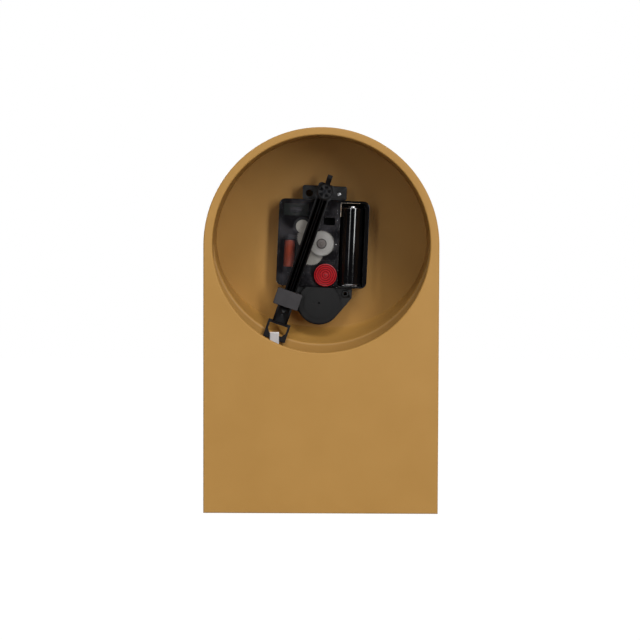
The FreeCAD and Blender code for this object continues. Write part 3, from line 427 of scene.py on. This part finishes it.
def sintered_ferrite():
    """Sintered ferrite: charcoal, with a fine pressed grain."""
    material, tree, shader = start_finish("sintered_ferrite")
    grain = noise(tree, place_in(tree), 0.3, 3)
    feed(tree, shader, Base_Color=tint(tree, grain, "#2A2A2C", "#3A3A3C"),
         Roughness=spread(tree, grain, 0.45, 0.6))
    relief(tree, shader, grain, 0.02)
    return material


def lacquered_board():
    """Glass fibre board under dark green lacquer: the weave shows through."""
    material, tree, shader = start_finish("lacquered_board", Specular_IOR_Level=0.5)
    place = place_in(tree)
    sockets = {"Scale": per(0.8), "Vector": place}
    weave = add(tree, "ShaderNodeTexChecker", sockets).outputs["Fac"]
    feed(tree, shader, Base_Color=tint(tree, weave, "#16241B", "#1B2B20"),
         Roughness=spread(tree, noise(tree, place, 2), 0.25, 0.35))
    return material


FINISHES = {
    "case_paint": powder_coat(),
    "dial_marks": satin_black_paint(),
    "black_moulding": black_abs(),
    "matt_moulding": matt_black_abs("matt_black_abs", "#0E0E0F", "#151516"),
    "grey_moulding": grey_polyamide(),
    "smoked_cover": smoked_styrene(),
    "white_moulding": white_acetal(),
    "knob_red": red_abs(),
    "copper_wire": enamelled_copper(),
    "steel": plated_steel(),
    "rod_strip": bright_strip(),
    "bob_metal": spun_steel(),
    "brass": turned_brass(),
    "cell_jacket": battery_jacket(),
    "rubber": nitrile_rubber(),
    "magnet": sintered_ferrite(),
    "board": lacquered_board(),
}
FINISHES["hand_paint"] = FINISHES["dial_marks"]
SLOT_OF = {part["node"]: part["material_slot"] for part in frame["record"]["subparts"]}

SMOOTH_UNDER = math.radians(30)


def dress(piece, finish):
    """Gives a piece one finish all over, and smooth faces between its real edges."""
    piece.data.materials.clear()
    piece.data.materials.append(finish)
    piece.data.shade_smooth()
    piece.data.set_sharp_from_angle(angle=SMOOTH_UNDER)


FINISH_OF = {name: FINISHES[slot] for name, slot in SLOT_OF.items()}
FINISH_OF["pivot_pin"] = blackened_steel()
FINISH_OF["second_wheel"] = acetal_with_painted_boss_shade()
FINISH_OF["quartz_crystal"] = FINISH_OF["stator"] = dull_tin()
# a dark bobbin, as the photo shows through the cover
FINISH_OF["coil_bobbin"] = FINISHES["black_moulding"]
FINISH_OF["battery_contact_plus"] = tinned_brass()
# painted shade: the cap's copy is darker than the matt black moulding that the frame wears
FINISH_OF["drive_coil_cap"] = matt_black_abs("matt_black_abs_cap_painted_darker", "#060607", "#0A0A0B")
# painted light: the arm's copy is lighter than the other black mouldings, making up for the light its
# rounded rails turn away
FINISH_OF["pendulum_arm"] = matt_black_abs("matt_black_abs_arm_painted_lighter", "#101011", "#18181A")

for name, node in nodes.items():
    dress(node, FINISH_OF[name])


# Pieces that stand for a node, with what a drawing of solids leaves out

BODIES = frame["record"]["behaviour"]["bodies"]
BODY_OF = {name: body for body, names in BODIES.items() for name in names}


def stand_for(name, form):
    """A new piece from an edited form, in the place of one node, on its body and with its finish."""
    mesh = bpy.data.meshes.new(name + "_piece")
    form.to_mesh(mesh)
    form.free()
    piece = bpy.data.objects.new(name + "_piece", mesh)
    bpy.context.scene.collection.objects.link(piece)
    dress(piece, FINISH_OF[name])
    flat = piece.modifiers.new("flat_faces_stay_flat", "WEIGHTED_NORMAL")
    flat.keep_sharp = True
    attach(piece, BODY_OF[name])
    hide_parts(name)
    return piece


WELD = 0.002 * MM
FLAT_UNDER = math.radians(0.5)
HARD_OVER = math.radians(28)
BEVEL_SEGMENTS = 2
MOST_CORNERS = 4


def soften(name, width, shortest=0.0):
    """The node's own form with its hard edges rounded; the width is in millimetres.

    Edges below the shortest length, as round a pin hole, stay as they are.
    """
    form = bmesh.new()
    form.from_mesh(nodes[name].data)
    bmesh.ops.remove_doubles(form, verts=form.verts, dist=WELD)
    bmesh.ops.dissolve_limit(form, angle_limit=FLAT_UNDER, verts=form.verts, edges=form.edges)
    hard = [edge for edge in form.edges if edge.is_manifold and edge.calc_length() > shortest * MM
            and edge.calc_face_angle(0) > HARD_OVER]
    bmesh.ops.bevel(form, geom=hard, offset=width * MM, offset_type="OFFSET",
                    segments=BEVEL_SEGMENTS, profile=0.5, affect="EDGES", clamp_overlap=False)
    wide = [face for face in form.faces if len(face.verts) > MOST_CORNERS]
    bmesh.ops.triangulate(form, faces=wide)
    return stand_for(name, form)


SOFT_EDGES = {
    "arch_band": 0.2, "back_plate": 0.2, "front_panel": 0.2, "hour_markers": 0.15,
    "minute_hand": 0.1, "hour_hand": 0.1, "hand_nut": 0.2, "nut_washer": 0.1,
    "movement_housing": 0.25, "back_cover": 0.2, "magnet_box": 0.3, "pivot_pin": 0.15,
    "bracket_rivet": 0.25, "battery_contact_plus": 0.08, "battery_contact_minus": 0.08,
    "coil_bobbin": 0.1, "pendulum_rod": 0.05, "rating_nut": 0.1, "bob": 0.2,
}
for name, width in SOFT_EDGES.items():
    soften(name, width)
soften("pendulum_frame", 0.25, 0.5)
# only the long rails and ribs of the arm; its small hub shades better without weighted normals
soften("pendulum_arm", 0.15, 20).modifiers.clear()

SHELF_SHEET = 1.5
SHELF_FLANGE = 11.0
SHELF_STEPS = 120
SHELF_BEND = 1.8
BEND_ANGLES = (0, 18, 36, 54, 72, 90)
BEND_ROOM_SHARE = 0.9
SHELF_FILLET = 8.5
FILLET_FADE = 3
FILLET_SHARES = (0, 0.12, 0.24, 0.36, 0.48, 0.6, 0.72, 0.84, 0.94)
# the curve's middle handle, as shares of the floor's depth and of the fillet's height
FILLET_HANDLE = (0.1, 0.52)


def floor_profile(turn, end, reach, depth):
    """The floor cut across at one place round its bend: depth and radius pairs."""
    # the sides of the case cut off what would reach past them
    limit = reach / abs(math.sin(turn)) if turn else math.inf
    fillet = SHELF_FILLET * (1 - (turn / end) ** 2) ** FILLET_FADE
    bend = min(SHELF_BEND, BEND_ROOM_SHARE * (limit - reach))
    profile = []
    for share in FILLET_SHARES:
        rest = 1 - share
        along = 2 * rest * share * FILLET_HANDLE[0] * depth + share ** 2 * (depth - bend)
        inward = rest ** 2 * fillet + 2 * rest * share * FILLET_HANDLE[1] * fillet
        profile.append((along, reach - inward))
    for lean in map(math.radians, BEND_ANGLES):
        profile.append((depth - bend * (1 - math.sin(lean)), reach + bend * (1 - math.cos(lean))))
    back, under = min(reach + SHELF_FLANGE, limit), min(reach + SHELF_SHEET, limit)
    inside = depth - SHELF_SHEET
    return profile + [(depth, back), (inside, back), (inside, under), (0, under)]


def curved_floor():
    """The floor under the movement, with its rear edge bent down in a small radius.

    In the photo the dial panel runs into it without a line, so a hollow fillet fills that corner.
    The fillet fades out towards the ends of the floor.
    """
    low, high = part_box("inner_shelf")
    reach, depth = high.x / MM, (high.y - low.y) / MM
    centre_z = low.z + (SHELF_FLANGE + reach) * MM
    end = math.acos((centre_z - high.z) / MM / reach)
    form = bmesh.new()
    rings = []
    for step in range(SHELF_STEPS + 1):
        turn = end * (2 * step / SHELF_STEPS - 1)
        rings.append([form.verts.new((radius * math.sin(turn) * MM, low.y + along * MM,
                                      centre_z - radius * math.cos(turn) * MM))
                      for along, radius in floor_profile(turn, end, reach, depth)])
    for one, other in zip(rings, rings[1:]):
        for here in range(len(one)):
            form.faces.new((one[here - 1], one[here], other[here], other[here - 1]))
    form.faces.new(rings[0])
    form.faces.new(rings[-1])
    bmesh.ops.remove_doubles(form, verts=form.verts, dist=WELD)
    bmesh.ops.recalc_face_normals(form, faces=form.faces)
    stand_for("inner_shelf", form)


def turned(name, profile, centre, axis, steps, flute=None):
    """A turned form: radius and height pairs in millimetres, about an axis through a centre."""
    form = bmesh.new()
    across = axis.orthogonal().normalized()
    up = axis.cross(across)
    rings = []
    for radius, height in profile:
        if radius == 0:
            rings.append([form.verts.new(centre + axis * height * MM)])
            continue
        ring = []
        for step in range(steps):
            turn = math.tau * step / steps
            reach = radius - (flute(radius, turn) if flute else 0)
            spoke = across * math.cos(turn) + up * math.sin(turn)
            ring.append(form.verts.new(centre + (spoke * reach + axis * height) * MM))
        rings.append(ring)
    for low, high in zip(rings, rings[1:]):
        for step in range(steps):
            corners = [low[step % len(low)], low[(step + 1) % len(low)],
                       high[(step + 1) % len(high)], high[step % len(high)]]
            # a ring that is one point at the axis gives triangles
            form.faces.new(list(dict.fromkeys(corners)))
    bmesh.ops.recalc_face_normals(form, faces=form.faces)
    stand_for(name, form)


# the movement is turned a little on its nut, clockwise as seen from the dial
MOVEMENT_TILT = math.radians(-2.3)
UPRIGHT = Vector((math.sin(MOVEMENT_TILT), 0, math.cos(MOVEMENT_TILT)))


def leaned_length(low, high, radii):
    """The length in millimetres of a round piece that leans with the movement, from its box."""
    return ((high.z - low.z) / MM - radii * abs(UPRIGHT.x)) / UPRIGHT.z


KNOB_NUB_RADIUS = 0.9
KNOB_NUB_HEIGHT = 0.25
# the nub's rounded edge starts at these shares of its radius and of its height
KNOB_NUB_SHARES = (0.7, 0.6)
KNOB_RING_DEPTH = 0.4
KNOB_BORDER = 0.6
KNOB_STEPS_A_RING = 4
KNOB_STEPS_ROUND = 240
# how far inside the rim, and how far below the face
KNOB_RIM = ((0.45, 0.0), (0.12, 0.12), (0.0, 0.4))
# how far inside the rim, and how far above the foot
KNOB_FOOT = ((0.0, 0.3), (0.25, 0.0))
KNOB_MILLS = 60
KNOB_MILLING = 0.16
KNOB_MILLED_BAND = 0.05


def setting_knob():
    """The red knob: a face of fine rings round a small nub, and a milled rim."""
    low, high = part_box("set_knob")
    radius = (high.x - low.x) / 2 / MM
    thick = (high.y - low.y) / MM
    centre = Vector(((low.x + high.x) / 2, low.y, (low.z + high.z) / 2))
    nub, face = KNOB_NUB_RADIUS, thick - KNOB_NUB_HEIGHT
    flat_share, side_share = KNOB_NUB_SHARES
    profile = [(0, thick), (nub * flat_share, thick), (nub, face + KNOB_NUB_HEIGHT * side_share),
               (nub, face)]
    stride = KNOB_RING_PITCH / KNOB_STEPS_A_RING
    for step in range(1, int((radius - KNOB_BORDER - nub) / stride)):
        at = nub + step * stride
        groove = 0.5 - 0.5 * math.cos(math.tau * at / KNOB_RING_PITCH)
        profile.append((at, face - KNOB_RING_DEPTH * groove))
    profile += [(radius - inside, face - below) for inside, below in KNOB_RIM]
    profile += [(radius - inside, above) for inside, above in KNOB_FOOT] + [(0, 0)]

    def milling(at, turn):
        on_rim = at > radius - KNOB_MILLED_BAND
        return KNOB_MILLING * (1 - math.cos(KNOB_MILLS * turn)) if on_rim else 0

    turned("set_knob", profile, centre, Vector((0, 1, 0)), KNOB_STEPS_ROUND, milling)


CELL_NUB_RADIUS = 2.75
CELL_NUB_HEIGHT = 1.3
CELL_NUB_ROUND = 0.3
CELL_NUB_FOOT = 0.1
CELL_STEPS_ROUND = 96
# how far inside the film's radius, and how far above the foot: the can's end, then the film
CELL_FOOT = ((2.6, 0.2), (2.2, 0.0), (1.0, 0.0), (0.9, 0.25), (0.45, 0.2), (0.12, 0.4), (0.0, 0.8))
# how far inside the film's radius, and how far below the shoulder: the film, then the can's end
CELL_SHOULDER = ((0.0, 0.5), (0.1, 0.2), (0.4, 0.0), (1.2, 0.0), (1.3, 0.3), (3.4, 0.2), (3.9, 0.0))


def dry_cell():
    """The battery: film that shrinks over both shoulders, with the bare can and its nub."""
    low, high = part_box("battery")
    radius = (high.y - low.y) / 2 / MM
    nub = CELL_NUB_RADIUS
    body = leaned_length(low, high, radius + nub)
    centre = (low + high) / 2 - UPRIGHT * body / 2 * MM
    shoulder = body - CELL_NUB_HEIGHT
    profile = [(0, CELL_FOOT[0][1])]
    profile += [(radius - inside, above) for inside, above in CELL_FOOT]
    profile += [(radius - inside, shoulder - below) for inside, below in CELL_SHOULDER]
    profile += [(nub + CELL_NUB_FOOT, shoulder), (nub, body - CELL_NUB_ROUND),
                (nub - CELL_NUB_ROUND, body), (0, body)]
    turned("battery", profile, centre, UPRIGHT, CELL_STEPS_ROUND)


COIL_PITCH = 0.36
COIL_BORE_RADIUS = 1.95
COIL_RIDGE = 0.07
COIL_END = 0.1
COIL_STEPS_A_TURN = 4
COIL_STEPS_ROUND = 48


def wound_coil():
    """The step motor's coil, with its turns as ridges."""
    low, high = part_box("coil_winding")
    radius = (high.y - low.y) / 2 / MM
    length = leaned_length(low, high, 2 * radius)
    centre = (low + high) / 2 - UPRIGHT * length / 2 * MM
    profile = [(COIL_BORE_RADIUS, 0.0), (radius - COIL_END, 0.0)]
    steps = int(length / (COIL_PITCH / COIL_STEPS_A_TURN))
    for step in range(steps + 1):
        ridge = COIL_RIDGE * (1 + math.cos(math.tau * step / COIL_STEPS_A_TURN))
        profile.append((radius - ridge, length * step / steps))
    profile += [(radius - COIL_END, length), (COIL_BORE_RADIUS, length), (COIL_BORE_RADIUS, 0.0)]
    turned("coil_winding", profile, centre, UPRIGHT, COIL_STEPS_ROUND)


curved_floor()
setting_knob()
dry_cell()
wound_coil()


# Stage, light and camera

def rays_that_see_white(tree):
    """One for the rays that carry the white background: to the camera, to metal and to glass."""
    rays = add(tree, "ShaderNodeLightPath").outputs
    seen = calculate(tree, "MAXIMUM", rays["Is Camera Ray"], rays["Is Glossy Ray"])
    return calculate(tree, "MAXIMUM", seen, rays["Is Transmission Ray"])


PAPER_GLOW_SHARE = 0.92
PAPER_GLOW = 1.08


def white_stage(name):
    """White paper that shows at full strength, and that keeps a soft shadow."""
    material = bpy.data.materials.new(name)
    material.use_nodes = True
    tree = material.node_tree
    tree.nodes.clear()
    share = calculate(tree, "MULTIPLY", rays_that_see_white(tree), PAPER_GLOW_SHARE)
    paper = add(tree, "ShaderNodeBsdfDiffuse", {"Color": linear("#A8A8A8")}).outputs[0]
    glow = add(tree, "ShaderNodeEmission", {"Strength": PAPER_GLOW}).outputs[0]
    mix = add(tree, "ShaderNodeMixShader", {0: share, 1: paper, 2: glow}).outputs[0]
    add(tree, "ShaderNodeOutputMaterial", {"Surface": mix})
    return material


FLOOR_HALF = 0.7
FLOOR_GAP = 0.1


def lay_floor():
    """A square of white paper, a hair under the clock so that the two faces do not meet.

    It is no wider, so that the gloss of the battery mirrors the dark room beyond it.
    """
    half = FLOOR_HALF
    corners = [(-half, -half, 0), (half, -half, 0), (half, half, 0), (-half, half, 0)]
    mesh = bpy.data.meshes.new("floor")
    mesh.from_pydata(corners, [], [(0, 1, 2, 3)])
    floor = bpy.data.objects.new("floor", mesh)
    floor.location.z = -FLOOR_GAP * MM
    bpy.context.scene.collection.objects.link(floor)
    floor.data.materials.append(white_stage("white_floor"))


# how far a ray points to the camera's side where the paper starts and ends its fade to the dark
ROOM_FROM = -0.1
ROOM_TO = 0.3


def light_world(strength, dark_side):
    """White paper behind the clock, seen at full white, and a dark room on the camera's side."""
    world = bpy.data.worlds.new("white_room")
    bpy.context.scene.world = world
    world.use_nodes = True
    tree = world.node_tree
    tree.nodes.clear()
    glossy = add(tree, "ShaderNodeLightPath").outputs["Is Glossy Ray"]
    way = add(tree, "ShaderNodeTexCoord").outputs["Generated"]
    toward = add(tree, "ShaderNodeSeparateXYZ", {0: way}).outputs["Y"]
    room = {"From Min": ROOM_FROM, "From Max": ROOM_TO, "To Min": 1.0, "To Max": dark_side}
    paper = add(tree, "ShaderNodeMapRange", {**room, "Value": toward}).outputs["Result"]
    shine = mix_values(tree, glossy, 1.0, paper)
    level = mix_values(tree, rays_that_see_white(tree), strength, shine)
    sockets = {"Color": (1, 1, 1, 1), "Strength": level}
    glow = add(tree, "ShaderNodeBackground", sockets).outputs[0]
    add(tree, "ShaderNodeOutputWorld", {"Surface": glow})


OPENING = (0, 0, 0.16)


def hang_lamp(name, place, width, height, watts):
    """A soft box that faces the opening in the back."""
    lamp = bpy.data.lights.new(name, "AREA")
    lamp.shape = "RECTANGLE"
    lamp.size = width
    lamp.size_y = height
    lamp.energy = watts
    holder = bpy.data.objects.new(name, lamp)
    holder.location = place
    toward = Vector(OPENING) - Vector(place)
    holder.rotation_euler = toward.to_track_quat("-Z", "Y").to_euler()
    bpy.context.scene.collection.objects.link(holder)


SENSOR_WIDTH = 36.0
CLIP_START = 0.01


def set_camera(place, pitch, yaw, roll, lens, shift):
    """Looks from behind the clock, along -Y; pitch is downwards, and all angles are in degrees."""
    camera = bpy.data.objects.new("camera", bpy.data.cameras.new("camera"))
    camera.data.lens = lens
    camera.data.sensor_width = SENSOR_WIDTH
    camera.data.shift_y = shift
    camera.data.clip_start = CLIP_START
    turn = (Matrix.Rotation(math.radians(180 + yaw), 4, "Z")
            @ Matrix.Rotation(math.radians(90 - pitch), 4, "X")
            @ Matrix.Rotation(math.radians(roll), 4, "Z"))
    camera.matrix_world = Matrix.Translation(place) @ turn
    bpy.context.scene.collection.objects.link(camera)
    bpy.context.scene.camera = camera


lay_floor()
light_world(strength=0.2, dark_side=0.012)
# the two tall boxes draw the two thin lines on the battery
hang_lamp("key_soft_box", place=(-0.78, 1.53, 0.74), width=0.26, height=1.4, watts=18.5)
hang_lamp("fill_soft_box", place=(0.62, 1.6, 0.72), width=0.18, height=1.3, watts=4.8)
hang_lamp("top_soft_box", place=(-0.1, 1.3, 1.5), width=0.6, height=0.45, watts=10.0)
# lights the dial, and reaches nothing that the photo shows
hang_lamp("dial_soft_box", place=(0.75, -1.5, 0.75), width=0.6, height=0.9, watts=24.0)
set_camera(place=(-0.00156, 0.69657, 0.17446), pitch=1.795, yaw=0.203, roll=0.205, lens=62.64,
           shift=-0.1)
bpy.context.scene.view_settings.view_transform = "Standard"
